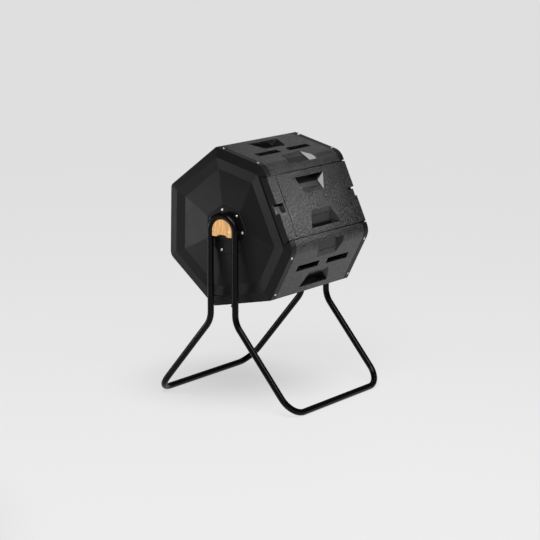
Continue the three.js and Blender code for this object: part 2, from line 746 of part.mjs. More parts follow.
// A half turn about Z sends the left hand pieces to the right hand end of the stand.
const leftStand = new THREE.Group();
const rightStand = new THREE.Group();
rightStand.rotation.z = Math.PI;
tumbler.add(leftStand, rightStand);
for (const [end, group] of [["left", leftStand], ["right", rightStand]]) {
  group.add(piece(`arch_${end}`, buildArch(), finish.paint));
  const tie = piece(`tie_rod_${end}`, buildTie(), finish.paint);
  tie.position.set(-ARCH_X, 0, TIE_HEIGHT);
  group.add(tie);
  const bearing = new THREE.Group();
  bearing.position.z = AXLE_HEIGHT;
  bearing.add(piece(`bearing_bracket_${end}`, buildBracket(), finish.paint));
  bearing.add(piece(`bearing_block_${end}`, buildBlock(), finish.wood));
  [-1, 1].forEach((side, i) => {
    const screw = piece(`block_screw_${end}_${i + 1}`, buildBlockScrew(), finish.zinc);
    screw.position.set(0, side * BLOCK_SCREW_Y, -1);
    bearing.add(screw);
  });
  group.add(bearing);
  const { screw, inner } = buildJointScrew();
  [-1, 1].forEach((side, i) => {
    const joint = piece(`leg_screw_${end}_${i + 1}`, screw, finish.paint);
    joint.position.set(-ARCH_X, side * -inner, JOINT_HEIGHT);
    joint.rotation.z = (side * Math.PI) / 2;
    group.add(joint);
  });
}
for (const [name, turn] of [["leg_front", 0], ["leg_rear", Math.PI]]) {
  const leg = piece(name, buildLeg(), finish.paint);
  leg.rotation.z = turn;
  tumbler.add(leg);
}

const drum = new THREE.Group();
drum.position.z = AXLE_HEIGHT;
drum.rotation.x = DRUM_TURN;
tumbler.add(drum);

// The right hand end of the drum is the left hand one turned half round about Y.
const leftEnd = new THREE.Group();
const rightEnd = new THREE.Group();
rightEnd.rotation.y = Math.PI;
drum.add(leftEnd, rightEnd);
for (const [end, group] of [["left", leftEnd], ["right", rightEnd]]) {
  group.add(piece(`end_cap_${end}`, buildCap(), finish.smooth));
  group.add(piece(`hub_plate_${end}`, buildHubPlate(), finish.hub));
  group.add(piece(`hub_backing_${end}`, buildBacking(), finish.hub));
  group.add(piece(`axle_stub_${end}`, buildAxle(), finish.steel));
  group.add(piece(`thrust_washer_${end}`, buildWasher(), finish.nylon));
  boltSpots(BOLT_CIRCLE).forEach(([y, z], i) => {
    const bolt = piece(`hub_bolt_${end}_${i + 1}`, buildHubBolt(), finish.zinc);
    bolt.position.set(0, y, z);
    group.add(bolt);
  });
}

// Faces in order round the drum from the door, which is face 0 and looks along -Y.
const doorGroup = new THREE.Group();
doorGroup.rotation.x = Math.PI / 2;
drum.add(doorGroup);
doorGroup.add(piece("door", buildDoor(), finish.grained));

const plain = (before, next) => ({ before, next });
const panels = [
  { name: "panel_below_door", face: 1, radii: plain(SHARP_RADIUS, 0), lip: true, flip: true },
  { name: "panel_bottom_front", face: 2, radii: plain(SHARP_RADIUS, SIDE_RADIUS) },
  { name: "panel_bottom_rear", face: 3, radii: plain(SIDE_RADIUS, BACK_RADIUS) },
  { name: "panel_back", face: 4, radii: plain(BACK_RADIUS, SIDE_RADIUS) },
  { name: "panel_top_rear", face: 5, radii: plain(SIDE_RADIUS, SHARP_RADIUS) },
  { name: "panel_above_door", face: 6, radii: plain(SHARP_RADIUS, 0), lip: true },
];
for (const { name, face, radii, lip, flip } of panels) {
  const body = buildPanel(radii, Boolean(lip), lip ? PATTERN_SHIFT : 0);
  const mesh = piece(name, body, finish.grained);
  const turn = new THREE.Group();
  turn.rotation.x = Math.PI / 2 + 2 * HALF_STEP * face;
  if (flip) mesh.rotation.z = Math.PI; // the same moulding as above the door, end for end
  turn.add(mesh);
  drum.add(turn);
}

export default tumbler;
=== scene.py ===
"""Finishes the compost tumbler round its fixed frame: rounded mouldings, bent tube, wood and screws."""
import json
import math

import bmesh
import bpy
from mathutils import Matrix, Vector


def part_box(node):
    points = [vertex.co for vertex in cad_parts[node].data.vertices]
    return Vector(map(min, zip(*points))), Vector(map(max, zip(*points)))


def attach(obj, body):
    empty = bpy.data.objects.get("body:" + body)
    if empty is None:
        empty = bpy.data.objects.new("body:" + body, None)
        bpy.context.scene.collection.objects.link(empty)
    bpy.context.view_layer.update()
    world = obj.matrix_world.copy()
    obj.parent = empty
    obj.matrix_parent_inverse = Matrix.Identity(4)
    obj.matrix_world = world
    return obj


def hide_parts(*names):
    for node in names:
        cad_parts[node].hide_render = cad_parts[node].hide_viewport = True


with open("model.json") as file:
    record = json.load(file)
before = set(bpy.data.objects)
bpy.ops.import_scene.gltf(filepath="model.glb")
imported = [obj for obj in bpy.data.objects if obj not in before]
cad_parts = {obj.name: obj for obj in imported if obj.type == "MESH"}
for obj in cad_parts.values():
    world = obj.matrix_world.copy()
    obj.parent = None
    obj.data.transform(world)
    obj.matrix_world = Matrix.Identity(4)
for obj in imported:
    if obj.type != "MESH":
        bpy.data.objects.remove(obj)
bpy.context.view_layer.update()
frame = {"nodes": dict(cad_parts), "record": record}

RECORD = frame["record"]
BODIES = RECORD["behaviour"]["bodies"]
SLOTS = {part["node"]: part["material_slot"] for part in RECORD["subparts"]}
AXLE = Vector(next(j["pos_m"] for j in RECORD["behaviour"]["joints"] if j["name"] == "drum_spin"))
DOOR_OUT = Vector(next(j["axis"] for j in RECORD["behaviour"]["joints"] if j["name"] == "door_lift"))
ENDS = {"left": -1, "right": 1}
SIDES = 7
STEP = 2 * math.pi / SIDES
DOOR_ANGLE = math.atan2(DOOR_OUT.z, DOOR_OUT.y)
APOTHEM = 0.325 * math.cos(STEP / 2)
GRAIN_DEPTH = 0.008  # the grain stops this far below the panels' skin
DOOR_PLANE = APOTHEM - 0.0398  # the door lies inside the regular heptagon
GRIPS_WITHIN = 0.12  # half the length of the drum that holds the grips
DOOR_LEFT = (-0.17, -0.28, 0.80)  # the part of the door that the door light is aimed at
SKIRT_FROM = 0.25  # the door's smooth end walls lie outside this
SKIN_FADE = 0.0015  # the depth over which the grain dies out
WELD = 2e-6  # points of a solid nearer than this are one
FLAT = math.radians(0.6)  # faces that turn less than this are one

bl_info = {
    "name": "Compost tumbler",
    "version": (1, 0, 0),
    "blender": (4, 5, 0),
    "location": "View3D > Sidebar > Tumbler",
    "description": "Builds the visible pieces of a seven-sided compost tumbler",
    "category": "Object",
}


# ------------------------------------------------------------------ properties
def length(name, description, default):
    return bpy.props.FloatProperty(
        name=name, description=description, default=default, min=0.0, unit="LENGTH", precision=4
    )


def colour(name, description, default):
    return bpy.props.FloatVectorProperty(
        name=name, description=description, default=default, size=3, min=0.0, max=1.0, subtype="COLOR"
    )


def power(name, description, default):
    return bpy.props.FloatProperty(name=name, description=description, default=default, min=0.0, unit="POWER")


class TumblerSizes(bpy.types.PropertyGroup):
    panel_edge: length("Panel edge", "Rounding of the moulded panels' edges", 0.0016)
    cap_edge: length("End cap edge", "Rounding of the end caps' edges", 0.002)
    plate_edge: length("Plate edge", "Rounding of the steel plates' edges", 0.0006)
    block_edge: length("Block edge", "Rounding of the wooden blocks' edges", 0.0014)
    strip_screw: length("Panel screw", "Head radius of the screws that hold the panels", 0.0052)
    hub_screw: length("Hub screw", "Head radius of the hub plate's screws", 0.0056)
    block_screw: length("Block screw", "Head radius of the bearing blocks' screws", 0.0043)
    leg_screw: length("Leg screw", "Head radius of the screws that join the stand's tubes", 0.0076)
    grain: length("Grain", "Size of the pebble grain on the panels", 0.0050)


class TumblerColours(bpy.types.PropertyGroup):
    panel: colour("Panels", "Grained plastic of the panels and the door", (0.010, 0.010, 0.0103))
    cap: colour("End caps", "Smooth plastic of the end caps", (0.003, 0.003, 0.0032))
    tube: colour("Tube", "Paint on the stand's tube", (0.0015, 0.0015, 0.0017))
    wood: colour("Wood", "Bearing blocks", (0.68, 0.36, 0.125))
    floor: colour("Floor", "Studio floor", (0.08, 0.08, 0.08))


class TumblerStage(bpy.types.PropertyGroup):
    key_power: power("Key light", "Large soft light above and to the left", 300.0)
    left_power: power("Left light", "Low soft light behind the left end", 18.0)
    door_power: power("Door light", "Small soft light that the door mirrors", 0.15)
    lip_power: power("Lip light", "Small light that the rounded lips mirror", 1.5)
    rim_power: power("Rim light", "Soft light that the grips' floors mirror", 2.5)
    back_power: power("Back light", "Soft light that the top panel mirrors", 1.8)
    near_power: power("Near light", "Soft light near the camera", 12.0)
    front_power: power("Front light", "Soft light above the front, mirrored by the front leg", 38.0)
    floor_glow: bpy.props.FloatProperty(
        name="Floor glow", description="Light that the lit floor sheet gives off", default=0.72, min=0.0
    )
    lens: bpy.props.FloatProperty(
        name="Lens", description="Focal length", default=129.0, min=1.0, unit="CAMERA"
    )


def sizes():
    return bpy.context.scene.tumbler_sizes


def colours():
    return bpy.context.scene.tumbler_colours


# ------------------------------------------------------------------ shader maths
class Value:
    """A socket on its way through a material, with arithmetic."""

    def __init__(self, recipe, socket):
        self.recipe = recipe
        self.socket = socket

    def __add__(self, other):
        return self.recipe.maths("ADD", self, other)

    def __radd__(self, other):
        return self.recipe.maths("ADD", other, self)

    def __sub__(self, other):
        return self.recipe.maths("SUBTRACT", self, other)

    def __rsub__(self, other):
        return self.recipe.maths("SUBTRACT", other, self)

    def __mul__(self, other):
        return self.recipe.maths("MULTIPLY", self, other)

    def __rmul__(self, other):
        return self.recipe.maths("MULTIPLY", other, self)

    def __pow__(self, other):
        return self.recipe.maths("POWER", self, other)


class Recipe:
    """A material under construction."""

    def __init__(self, name):
        self.material = bpy.data.materials.new(name)
        self.material.use_nodes = True
        self.tree = self.material.node_tree
        self.tree.nodes.clear()
        self.place = self.add("ShaderNodeTexCoord", output="Object")

    def add(self, kind, settings=None, sockets=None, output=0):
        node = self.tree.nodes.new(kind)
        for key, value in (settings or {}).items():
            setattr(node, key, value)
        for key, value in (sockets or {}).items():
            if isinstance(value, Value):
                self.tree.links.new(value.socket, node.inputs[key])
            else:
                node.inputs[key].default_value = value
        return Value(self, node.outputs[output])

    def noise(self, scale, detail=3.0, roughness=0.5, place=None):
        sockets = {"Vector": place or self.place, "Scale": scale, "Detail": detail, "Roughness": roughness}
        return self.add("ShaderNodeTexNoise", None, sockets)

    def stretched(self, x, y, z):
        return self.add("ShaderNodeMapping", None, {"Vector": self.place, "Scale": (x, y, z)})

    def between(self, value, low, high):
        """0 below low, 1 above high, smooth between."""
        return self.add(
            "ShaderNodeMapRange",
            {"interpolation_type": "SMOOTHSTEP"},
            {"Value": value, "From Min": low, "From Max": high},
        )

    def mix(self, share, first, second):
        return self.add(
            "ShaderNodeMix",
            {"data_type": "RGBA"},
            {0: share, 6: opaque(first), 7: opaque(second)},
            output=2,
        )

    def maths(self, operation, first, second=0.0):
        return self.add("ShaderNodeMath", {"operation": operation}, {0: first, 1: second})

    def part(self, axis):
        return self.add("ShaderNodeSeparateXYZ", None, {0: self.place}, axis)

    def bump(self, height, strength, distance):
        sockets = {"Height": height, "Strength": strength, "Distance": distance}
        return self.add("ShaderNodeBump", None, sockets)

    def edges(self, radius):
        """1 on edges within the radius, 0 on flat stretches."""
        bevel = self.add("ShaderNodeBevel", {"samples": 6}, {"Radius": radius})
        plain = self.add("ShaderNodeNewGeometry", None, None, output="Normal")
        along = self.add("ShaderNodeVectorMath", {"operation": "DOT_PRODUCT"}, {0: bevel, 1: plain}, "Value")
        return self.between(1 - along, 0.01, 0.12)

    def finish(self, **sockets):
        names = {key.replace("_", " "): value for key, value in sockets.items()}
        if not isinstance(names["Base Color"], Value):
            names["Base Color"] = opaque(names["Base Color"])
        shader = self.add("ShaderNodeBsdfPrincipled", None, names)
        self.add_output(shader)
        return self.material

    def add_output(self, shader):
        output = self.tree.nodes.new("ShaderNodeOutputMaterial")
        self.tree.links.new(shader.socket, output.inputs["Surface"])


def opaque(shade):
    return shade if isinstance(shade, Value) else (*tuple(shade)[:3], 1.0)


def tinted(shade, factor, lift=0.0):
    return tuple(min(channel * factor + lift, 1.0) for channel in tuple(shade)[:3])


# ------------------------------------------------------------------ finishes
def ungrained(r):
    """1 inside the grips and on the walls that look along the axle, 0 on the drum's skin."""
    across = r.part("Y")
    up = r.part("Z") - AXLE.z
    turn = r.maths("ARCTAN2", up, across) - DOOR_ANGLE
    from_face = r.maths("PINGPONG", turn, STEP / 2)
    reach = (across * across + up * up) ** 0.5 * r.maths("COSINE", from_face)
    door_depth = DOOR_PLANE - across * DOOR_OUT.y - up * DOOR_OUT.z
    depth = r.maths("MINIMUM", APOTHEM - reach, door_depth)
    sunken = r.between(depth, GRAIN_DEPTH, GRAIN_DEPTH + SKIN_FADE)
    normal = r.add("ShaderNodeNewGeometry", output="Normal")
    sideways = r.maths("ABSOLUTE", r.add("ShaderNodeSeparateXYZ", None, {0: normal}, "X"))
    from_middle = r.maths("ABSOLUTE", r.part("X"))
    in_grips = r.maths("LESS_THAN", from_middle, GRIPS_WITHIN)
    at_skirt = r.maths("GREATER_THAN", from_middle, SKIRT_FROM)
    end_walls = r.between(sideways, 0.35, 0.6) * (in_grips + at_skirt)
    return r.maths("MAXIMUM", sunken * in_grips, end_walls)


def grained_plastic():
    """Black moulded plastic with a coarse pebble grain that sparkles where it faces a light, and light flecks
    painted in its colour as glints.
    """
    r = Recipe("grained_plastic_finish")
    base = colours().panel
    size = sizes().grain
    pebbles = r.add(
        "ShaderNodeTexVoronoi",
        {"feature": "F1"},
        {"Vector": r.place, "Scale": 1 / size, "Randomness": 1.0},
        output="Distance",
    )
    fine = r.noise(2.6 / size, 2.0, 0.6)
    coarse = r.noise(0.7 / size, 1.0, 0.5)
    clouds = r.noise(9.0, 4.0, 0.55)
    smooth = ungrained(r)
    height = ((1 - pebbles) * 0.12 + fine * 0.03 + coarse * 1.15) * (1 - smooth)
    crests = r.between(fine, 0.60, 0.74)
    # painted glints: sparse light flecks in the colour stand in for the grain's sparkle under the lights
    painted_glints = r.between(r.noise(1.3 / size, 1.0, 0.5), 0.54, 0.68)
    grain_and_painted_glints = r.mix(painted_glints * 0.8, tinted(base, 0.5), tinted(base, 8.5, 0.02))
    rough = 0.27 - 0.10 * crests + 0.08 * clouds
    # inside the grips and on the end walls the colour is a plain dark tone without the painted glints, so
    # these recesses and walls are darker than the skin
    return r.finish(
        Base_Color=r.mix(smooth, grain_and_painted_glints, tinted(base, 0.6)),
        Roughness=rough * (1 - smooth * 0.3),
        Specular_IOR_Level=0.34,
        Normal=r.bump(height, 1.0, 0.0020),
    )


def smooth_plastic():
    """The end caps' satin plastic, with a faint moulded texture and a little dust."""
    r = Recipe("smooth_plastic_finish")
    base = colours().cap
    clouds = r.noise(5.0, 4.0, 0.6)
    orange_peel = r.noise(420.0, 2.0, 0.5)
    flow = r.noise(14.0, 3.0, 0.5, r.stretched(0.4, 1.0, 1.0))
    shade = r.mix(clouds, tinted(base, 0.8), tinted(base, 1.3))
    rough = 0.36 + 0.10 * flow + 0.05 * orange_peel
    return r.finish(
        Base_Color=shade,
        Roughness=rough,
        Specular_IOR_Level=0.18,
        Normal=r.bump(orange_peel, 0.10, 0.0004),
    )


def tube_paint():
    """Gloss black powder coat with its slight orange peel."""
    r = Recipe("tube_paint_finish")
    base = colours().tube
    peel = r.noise(260.0, 2.0, 0.5)
    scuffs = r.between(r.noise(38.0, 5.0, 0.65), 0.60, 0.72)
    shade = r.mix(scuffs * 0.3, base, tinted(base, 2.2))
    rough = 0.22 + 0.12 * scuffs
    return r.finish(
        Base_Color=shade,
        Roughness=rough,
        Specular_IOR_Level=0.11,
        Normal=r.bump(peel, 0.02, 0.0004),
    )


def plate_paint():
    """Satin black paint on the flat steel plates, worn a little at the edges."""
    r = Recipe("plate_paint_finish")
    base = colours().tube
    grit = r.noise(520.0, 2.0, 0.5)
    wear = r.edges(0.0010) * r.between(r.noise(90.0, 4.0, 0.6), 0.45, 0.65)
    shade = r.mix(wear * 0.5, tinted(base, 1.6), (0.10, 0.10, 0.10))
    return r.finish(
        Base_Color=shade,
        Roughness=0.40 + 0.08 * grit,
        Metallic=0.2 * wear,
        Specular_IOR_Level=0.16,
        Normal=r.bump(grit, 0.12, 0.0003),
    )


def block_wood():
    """Light oiled hardwood with upright grain."""
    r = Recipe("wood_finish")
    base = colours().wood
    rings = r.noise(26.0, 5.0, 0.62, r.stretched(1.0, 3.2, 0.35))
    pores = r.noise(190.0, 3.0, 0.6, r.stretched(1.0, 3.0, 0.12))
    bands = r.between(rings, 0.40, 0.62)
    early = r.mix(bands, tinted(base, 1.12), tinted(base, 0.74))
    shade = r.mix(r.between(pores, 0.58, 0.72) * 0.45, early, tinted(base, 0.42))
    return r.finish(
        Base_Color=shade,
        Roughness=0.46 + 0.14 * pores,
        Normal=r.bump(rings * 0.5 + pores, 0.18, 0.0005),
    )


def zinc_plate():
    """Bright zinc, mottled and slightly dulled in the hollows."""
    r = Recipe("zinc_finish")
    mottle = r.noise(900.0, 3.0, 0.6)
    tone = r.mix(mottle, (0.52, 0.53, 0.55), (0.86, 0.86, 0.85))
    return r.finish(Base_Color=tone, Metallic=1.0, Roughness=0.22 + 0.20 * mottle)


def turned_steel():
    """Steel bar with fine tool marks round the axle."""
    r = Recipe("axle_steel_finish")
    marks = r.noise(700.0, 2.0, 0.5, r.stretched(3.0, 0.2, 0.2))
    tone = r.mix(marks, (0.42, 0.42, 0.44), (0.66, 0.66, 0.67))
    return r.finish(
        Base_Color=tone, Metallic=1.0, Roughness=0.26 + 0.16 * marks, Normal=r.bump(marks, 0.1, 0.0002)
    )


def nylon():
    """Plain black nylon of the thrust washers."""
    r = Recipe("nylon_finish")
    haze = r.noise(320.0, 3.0, 0.5)
    shade = r.mix(haze, (0.018, 0.018, 0.018), (0.040, 0.040, 0.040))
    return r.finish(Base_Color=shade, Roughness=0.42 + 0.12 * haze, Normal=r.bump(haze, 0.1, 0.0002))


FINISHES = {
    "grained_plastic": grained_plastic,
    "smooth_plastic": smooth_plastic,
    "tube_paint": tube_paint,
    "plate_paint": plate_paint,
    "wood": block_wood,
    "zinc": zinc_plate,
    "axle_steel": turned_steel,
    "nylon": nylon,
}


def finish_for(slot):
    return bpy.data.materials.get(slot + "_finish") or FINISHES[slot]()


# ------------------------------------------------------------------ piece helpers
def body_of(node):
    return next(body for body, nodes in BODIES.items() if node in nodes)


def nodes_named(start):
    return [node for node in frame["nodes"] if node.startswith(start)]


def new_object(name, mesh):
    piece = bpy.data.objects.new(name, mesh)
    bpy.context.scene.collection.objects.link(piece)
    return piece


def place_piece(piece, body, slot, nodes=()):
    piece.data.materials.clear()
    piece.data.materials.append(finish_for(slot))
    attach(piece, body)
    if nodes:
        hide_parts(*nodes)


def smooth_by_angle(mesh, degrees):
    mesh.shade_smooth()
    mesh.set_sharp_from_angle(angle=math.radians(degrees))


def apply_modifiers(piece):
    """Gives the piece the mesh that its modifiers make, and takes them off."""
    made = bpy.data.meshes.new_from_object(piece.evaluated_get(bpy.context.evaluated_depsgraph_get()))
    piece.modifiers.clear()
    piece.data = made


def join_rings(work, first, second):
    for k in range(len(first)):
        m = (k + 1) % len(first)
        work.faces.new((first[k], first[m], second[m], second[k]))


def closed_piece(work, name, smooth_to):
    """A piece from finished faces; edges that turn more than smooth_to degrees stay sharp."""
    bmesh.ops.recalc_face_normals(work, faces=work.faces)
    mesh = bpy.data.meshes.new(name)
    work.to_mesh(mesh)
    work.free()
    smooth_by_angle(mesh, smooth_to)
    return new_object(name, mesh)


def copied_solid(node, name):
    """The CAD node's shape as a clean mesh of flat faces."""
    mesh = frame["nodes"][node].data.copy()
    mesh.name = name
    work = bmesh.new()
    work.from_mesh(mesh)
    bmesh.ops.remove_doubles(work, verts=work.verts, dist=WELD)
    bmesh.ops.dissolve_limit(
        work, angle_limit=FLAT, verts=work.verts, edges=work.edges, use_dissolve_boundaries=False
    )
    work.to_mesh(mesh)
    work.free()
    return new_object(name, mesh)


def rounded_copy(node, name, edge, segments=2, angle=15):
    """A CAD solid with its edges rounded, standing for that node."""
    piece = copied_solid(node, name)
    bevel = piece.modifiers.new("edge", "BEVEL")
    bevel.width = edge
    bevel.segments = segments
    bevel.limit_method = "ANGLE"
    bevel.angle_limit = math.radians(angle)
    bevel.use_clamp_overlap = True
    apply_modifiers(piece)
    smooth_by_angle(piece.data, 30)
    weighted = piece.modifiers.new("shading", "WEIGHTED_NORMAL")
    weighted.keep_sharp = True
    weighted.weight = 80
    place_piece(piece, body_of(node), SLOTS[node], [node])
    return piece


def swept_tube(name, path, radius, sides=32):
    """A round bar along a path of points, with its ends closed."""
    work = bmesh.new()
    tangents = []
    for i in range(len(path)):
        before = path[max(i - 1, 0)]
        after = path[min(i + 1, len(path) - 1)]
        tangents.append((after - before).normalized())
    side = tangents[0].orthogonal().normalized()
    rings = []
    for point, tangent in zip(path, tangents):
        side = (side - tangent * side.dot(tangent)).normalized()
        other = tangent.cross(side)
        ring = []
        for k in range(sides):
            angle = 2 * math.pi * k / sides
            offset = side * math.cos(angle) + other * math.sin(angle)
            ring.append(work.verts.new(point + offset * radius))
        rings.append(ring)
    for first, second in zip(rings, rings[1:]):
        join_rings(work, first, second)
    work.faces.new(rings[0][::-1])
    work.faces.new(rings[-1])
    return closed_piece(work, name, 50)


def bent_path(corners, radius_at, steps=14):
    """Straight runs joined by circular bends; radius_at gives each inner corner's bend."""
    path = [corners[0]]
    for i in range(1, len(corners) - 1):
        before = (corners[i] - corners[i - 1]).normalized()
        after = (corners[i + 1] - corners[i]).normalized()
        turn = before.angle(after)
        radius = radius_at[i - 1]
        start = corners[i] - before * radius * math.tan(turn / 2)
        across = (after - before * after.dot(before)).normalized()
        for k in range(steps + 1):
            angle = turn * k / steps
            path.append(start + before * radius * math.sin(angle) + across * radius * (1 - math.cos(angle)))
    path.append(corners[-1])
    return path


# ------------------------------------------------------------------ screws
HEAD_SIDES = 20
RECESS_FLOOR = 0.22  # height of the cross recess's floor, for a head of radius 1


def screw_head(name, radius):
    """A pan head with a cross recess, its seat at the origin and its top along +Z."""
    work = bmesh.new()
    profile = [(0.0, 1.0), (0.22, 1.0), (0.40, 0.86), (0.50, 0.60), (0.54, 0.30)]
    rings = []
    for height, width in profile:
        ring = []
        for k in range(HEAD_SIDES):
            angle = 2 * math.pi * k / HEAD_SIDES
            at = Vector((math.cos(angle) * width, math.sin(angle) * width, height))
            ring.append(work.verts.new(at * radius))
        rings.append(ring)
    for first, second in zip(rings, rings[1:]):
        join_rings(work, first, second)
    recess = []
    for k in range(HEAD_SIDES):
        on_arm = k % (HEAD_SIDES // 4) == 0
        width = 0.30 if on_arm else 0.10
        angle = 2 * math.pi * k / HEAD_SIDES
        at = Vector((math.cos(angle) * width, math.sin(angle) * width, RECESS_FLOOR))
        recess.append(work.verts.new(at * radius))
    join_rings(work, rings[-1], recess)
    work.faces.new(recess)
    work.faces.new(rings[0][::-1])
    return closed_piece(work, name, 38)


def scatter_tree():
    """Puts a copy of a head on every point, standing along the point's own direction."""
    tree = bpy.data.node_groups.new("screws_on_points", "GeometryNodeTree")
    face = tree.interface
    face.new_socket("Geometry", in_out="INPUT", socket_type="NodeSocketGeometry")
    face.new_socket("Head", in_out="INPUT", socket_type="NodeSocketObject")
    face.new_socket("Scale", in_out="INPUT", socket_type="NodeSocketFloat").default_value = 1.0
    face.new_socket("Seed", in_out="INPUT", socket_type="NodeSocketInt").default_value = 4
    face.new_socket("Finish", in_out="INPUT", socket_type="NodeSocketMaterial")
    face.new_socket("Geometry", in_out="OUTPUT", socket_type="NodeSocketGeometry")
    nodes = tree.nodes
    link = tree.links.new
    given = nodes.new("NodeGroupInput")
    result = nodes.new("NodeGroupOutput")
    head = nodes.new("GeometryNodeObjectInfo")
    facing = nodes.new("GeometryNodeInputNamedAttribute")
    facing.data_type = "FLOAT_VECTOR"
    facing.inputs["Name"].default_value = "facing"
    turn = nodes.new("FunctionNodeRandomValue")
    turn.inputs[3].default_value = 2 * math.pi
    spin = nodes.new("ShaderNodeCombineXYZ")
    aim = nodes.new("FunctionNodeAlignEulerToVector")
    aim.axis = "Z"
    place = nodes.new("GeometryNodeInstanceOnPoints")
    real = nodes.new("GeometryNodeRealizeInstances")
    paint = nodes.new("GeometryNodeSetMaterial")
    link(given.outputs["Head"], head.inputs["Object"])
    link(given.outputs["Seed"], turn.inputs["Seed"])
    link(turn.outputs[1], spin.inputs["Z"])
    link(spin.outputs[0], aim.inputs["Rotation"])
    link(facing.outputs["Attribute"], aim.inputs["Vector"])
    link(given.outputs["Geometry"], place.inputs["Points"])
    link(head.outputs["Geometry"], place.inputs["Instance"])
    link(aim.outputs["Rotation"], place.inputs["Rotation"])
    link(given.outputs["Scale"], place.inputs["Scale"])
    link(place.outputs["Instances"], real.inputs["Geometry"])
    link(real.outputs["Geometry"], paint.inputs["Geometry"])
    link(given.outputs["Finish"], paint.inputs["Material"])
    link(paint.outputs["Geometry"], result.inputs["Geometry"])
    return tree


def screws_at(name, spots, radius, body, nodes=(), slot="zinc"):
    """One mesh of screw heads; spots are (place, direction) pairs."""
    mesh = bpy.data.meshes.new(name)
    mesh.from_pydata([tuple(place) for place, _ in spots], [], [])
    facing = mesh.attributes.new("facing", "FLOAT_VECTOR", "POINT")
    facing.data.foreach_set("vector", [c for _, direction in spots for c in direction])
    piece = new_object(name, mesh)
    head = screw_head(name + "_head", radius)
    tree = bpy.data.node_groups.get("screws_on_points") or scatter_tree()
    modifier = piece.modifiers.new("screws", "NODES")
    modifier.node_group = tree
    ids = {item.name: item.identifier for item in tree.interface.items_tree if item.in_out == "INPUT"}
    modifier[ids["Head"]] = head
    modifier[ids["Finish"]] = finish_for(slot)
    apply_modifiers(piece)
    bpy.data.objects.remove(head)
    place_piece(piece, body, slot, nodes)
    return piece


# ------------------------------------------------------------------ operators
class TUMBLER_OT_panels(bpy.types.Operator):
    """The six fixed panels of the drum"""

    bl_idname = "tumbler.panels"
    bl_label = "Panels"

    def execute(self, context):
        for node in nodes_named("panel_"):
            rounded_copy(node, node + "_moulding", sizes().panel_edge)
        return {"FINISHED"}


class TUMBLER_OT_door(bpy.types.Operator):
    """The lift-off door with its grips and catches"""

    bl_idname = "tumbler.door"
    bl_label = "Door"

    def execute(self, context):
        rounded_copy("door", "door_moulding", sizes().panel_edge)
        return {"FINISHED"}


class TUMBLER_OT_end_caps(bpy.types.Operator):
    """The two smooth end caps"""

    bl_idname = "tumbler.end_caps"
    bl_label = "End caps"

    def execute(self, context):
        for end in ENDS:
            rounded_copy(f"end_cap_{end}", f"end_cap_{end}_moulding", sizes().cap_edge, 3, 10)
        return {"FINISHED"}


class TUMBLER_OT_hubs(bpy.types.Operator):
    """Hub plates, backing plates, axles and washers"""

    bl_idname = "tumbler.hubs"
    bl_label = "Hubs"

    def execute(self, context):
        for end in ENDS:
            for part in ("hub_plate", "hub_backing", "axle_stub", "thrust_washer"):
                rounded_copy(f"{part}_{end}", f"{part}_{end}_finished", sizes().plate_edge)
        return {"FINISHED"}


class TUMBLER_OT_bearings(bpy.types.Operator):
    """Wooden bearing blocks on their bracket plates"""

    bl_idname = "tumbler.bearings"
    bl_label = "Bearings"

    def execute(self, context):
        for end in ENDS:
            rounded_copy(f"bearing_bracket_{end}", f"bearing_bracket_{end}_plate", sizes().plate_edge)
            rounded_copy(f"bearing_block_{end}", f"bearing_block_{end}_wood", sizes().block_edge, 3)
        return {"FINISHED"}


SLEEVE_GAP = 0.0004  # between an arch's end and the leg below it
KNEE_DROP = 0.044  # from the leg's top to the corner of its upper bend
KNEE_BEND = 0.095
FOOT_BEND = 0.080


class TUMBLER_OT_stand(bpy.types.Operator):
    """Bent tube of the arches, the legs and their ties"""

    bl_idname = "tumbler.stand"
    bl_label = "Stand"

    def execute(self, context):
        for end, sign in ENDS.items():
            self.arch(end, sign)
            self.tie(end)
        for side, sign in (("front", -1), ("rear", 1)):
            self.leg(side, sign)
        return {"FINISHED"}

    def arch(self, end, sign):
        node = f"arch_{end}"
        low, high = (Vector(corner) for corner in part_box(node))
        radius = (high.x - low.x) / 2
        x = (high.x + low.x) / 2
        reach = high.y - radius
        top = high.z - radius
        turns = ((reach, low.z), (reach, top), (-reach, top), (-reach, low.z))
        corners = [Vector((x, y, z)) for y, z in turns]
        tube = swept_tube(node + "_tube", bent_path(corners, [reach, reach], 24), radius)
        place_piece(tube, "stand", "tube_paint", [node])

    def leg(self, side, sign):
        node = f"leg_{side}"
        low, high = (Vector(corner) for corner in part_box(node))
        arch_low, arch_high = (Vector(corner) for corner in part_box("arch_left"))
        radius = (arch_high.x - arch_low.x) / 2
        x = high.x - radius
        inner = arch_high.y - radius
        outer = max(abs(low.y), abs(high.y)) - radius
        top = arch_low.z - SLEEVE_GAP
        knee = top - KNEE_DROP
        corners = [
            Vector((-x, sign * inner, top)),
            Vector((-x, sign * inner, knee)),
            Vector((-x, sign * outer, low.z + radius)),
            Vector((x, sign * outer, low.z + radius)),
            Vector((x, sign * inner, knee)),
            Vector((x, sign * inner, top)),
        ]
        path = bent_path(corners, [KNEE_BEND, FOOT_BEND, FOOT_BEND, KNEE_BEND], 16)
        tube = swept_tube(node + "_tube", path, radius)
        place_piece(tube, "stand", "tube_paint", [node])

    def tie(self, end):
        node = f"tie_rod_{end}"
        low, high = (Vector(corner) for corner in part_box(node))
        middle = (low + high) / 2
        ends = [Vector((middle.x, y, middle.z)) for y in (low.y, high.y)]
        rod = swept_tube(node + "_bar", ends, (high.x - low.x) / 2, 16)
        place_piece(rod, "stand", "tube_paint", [node])


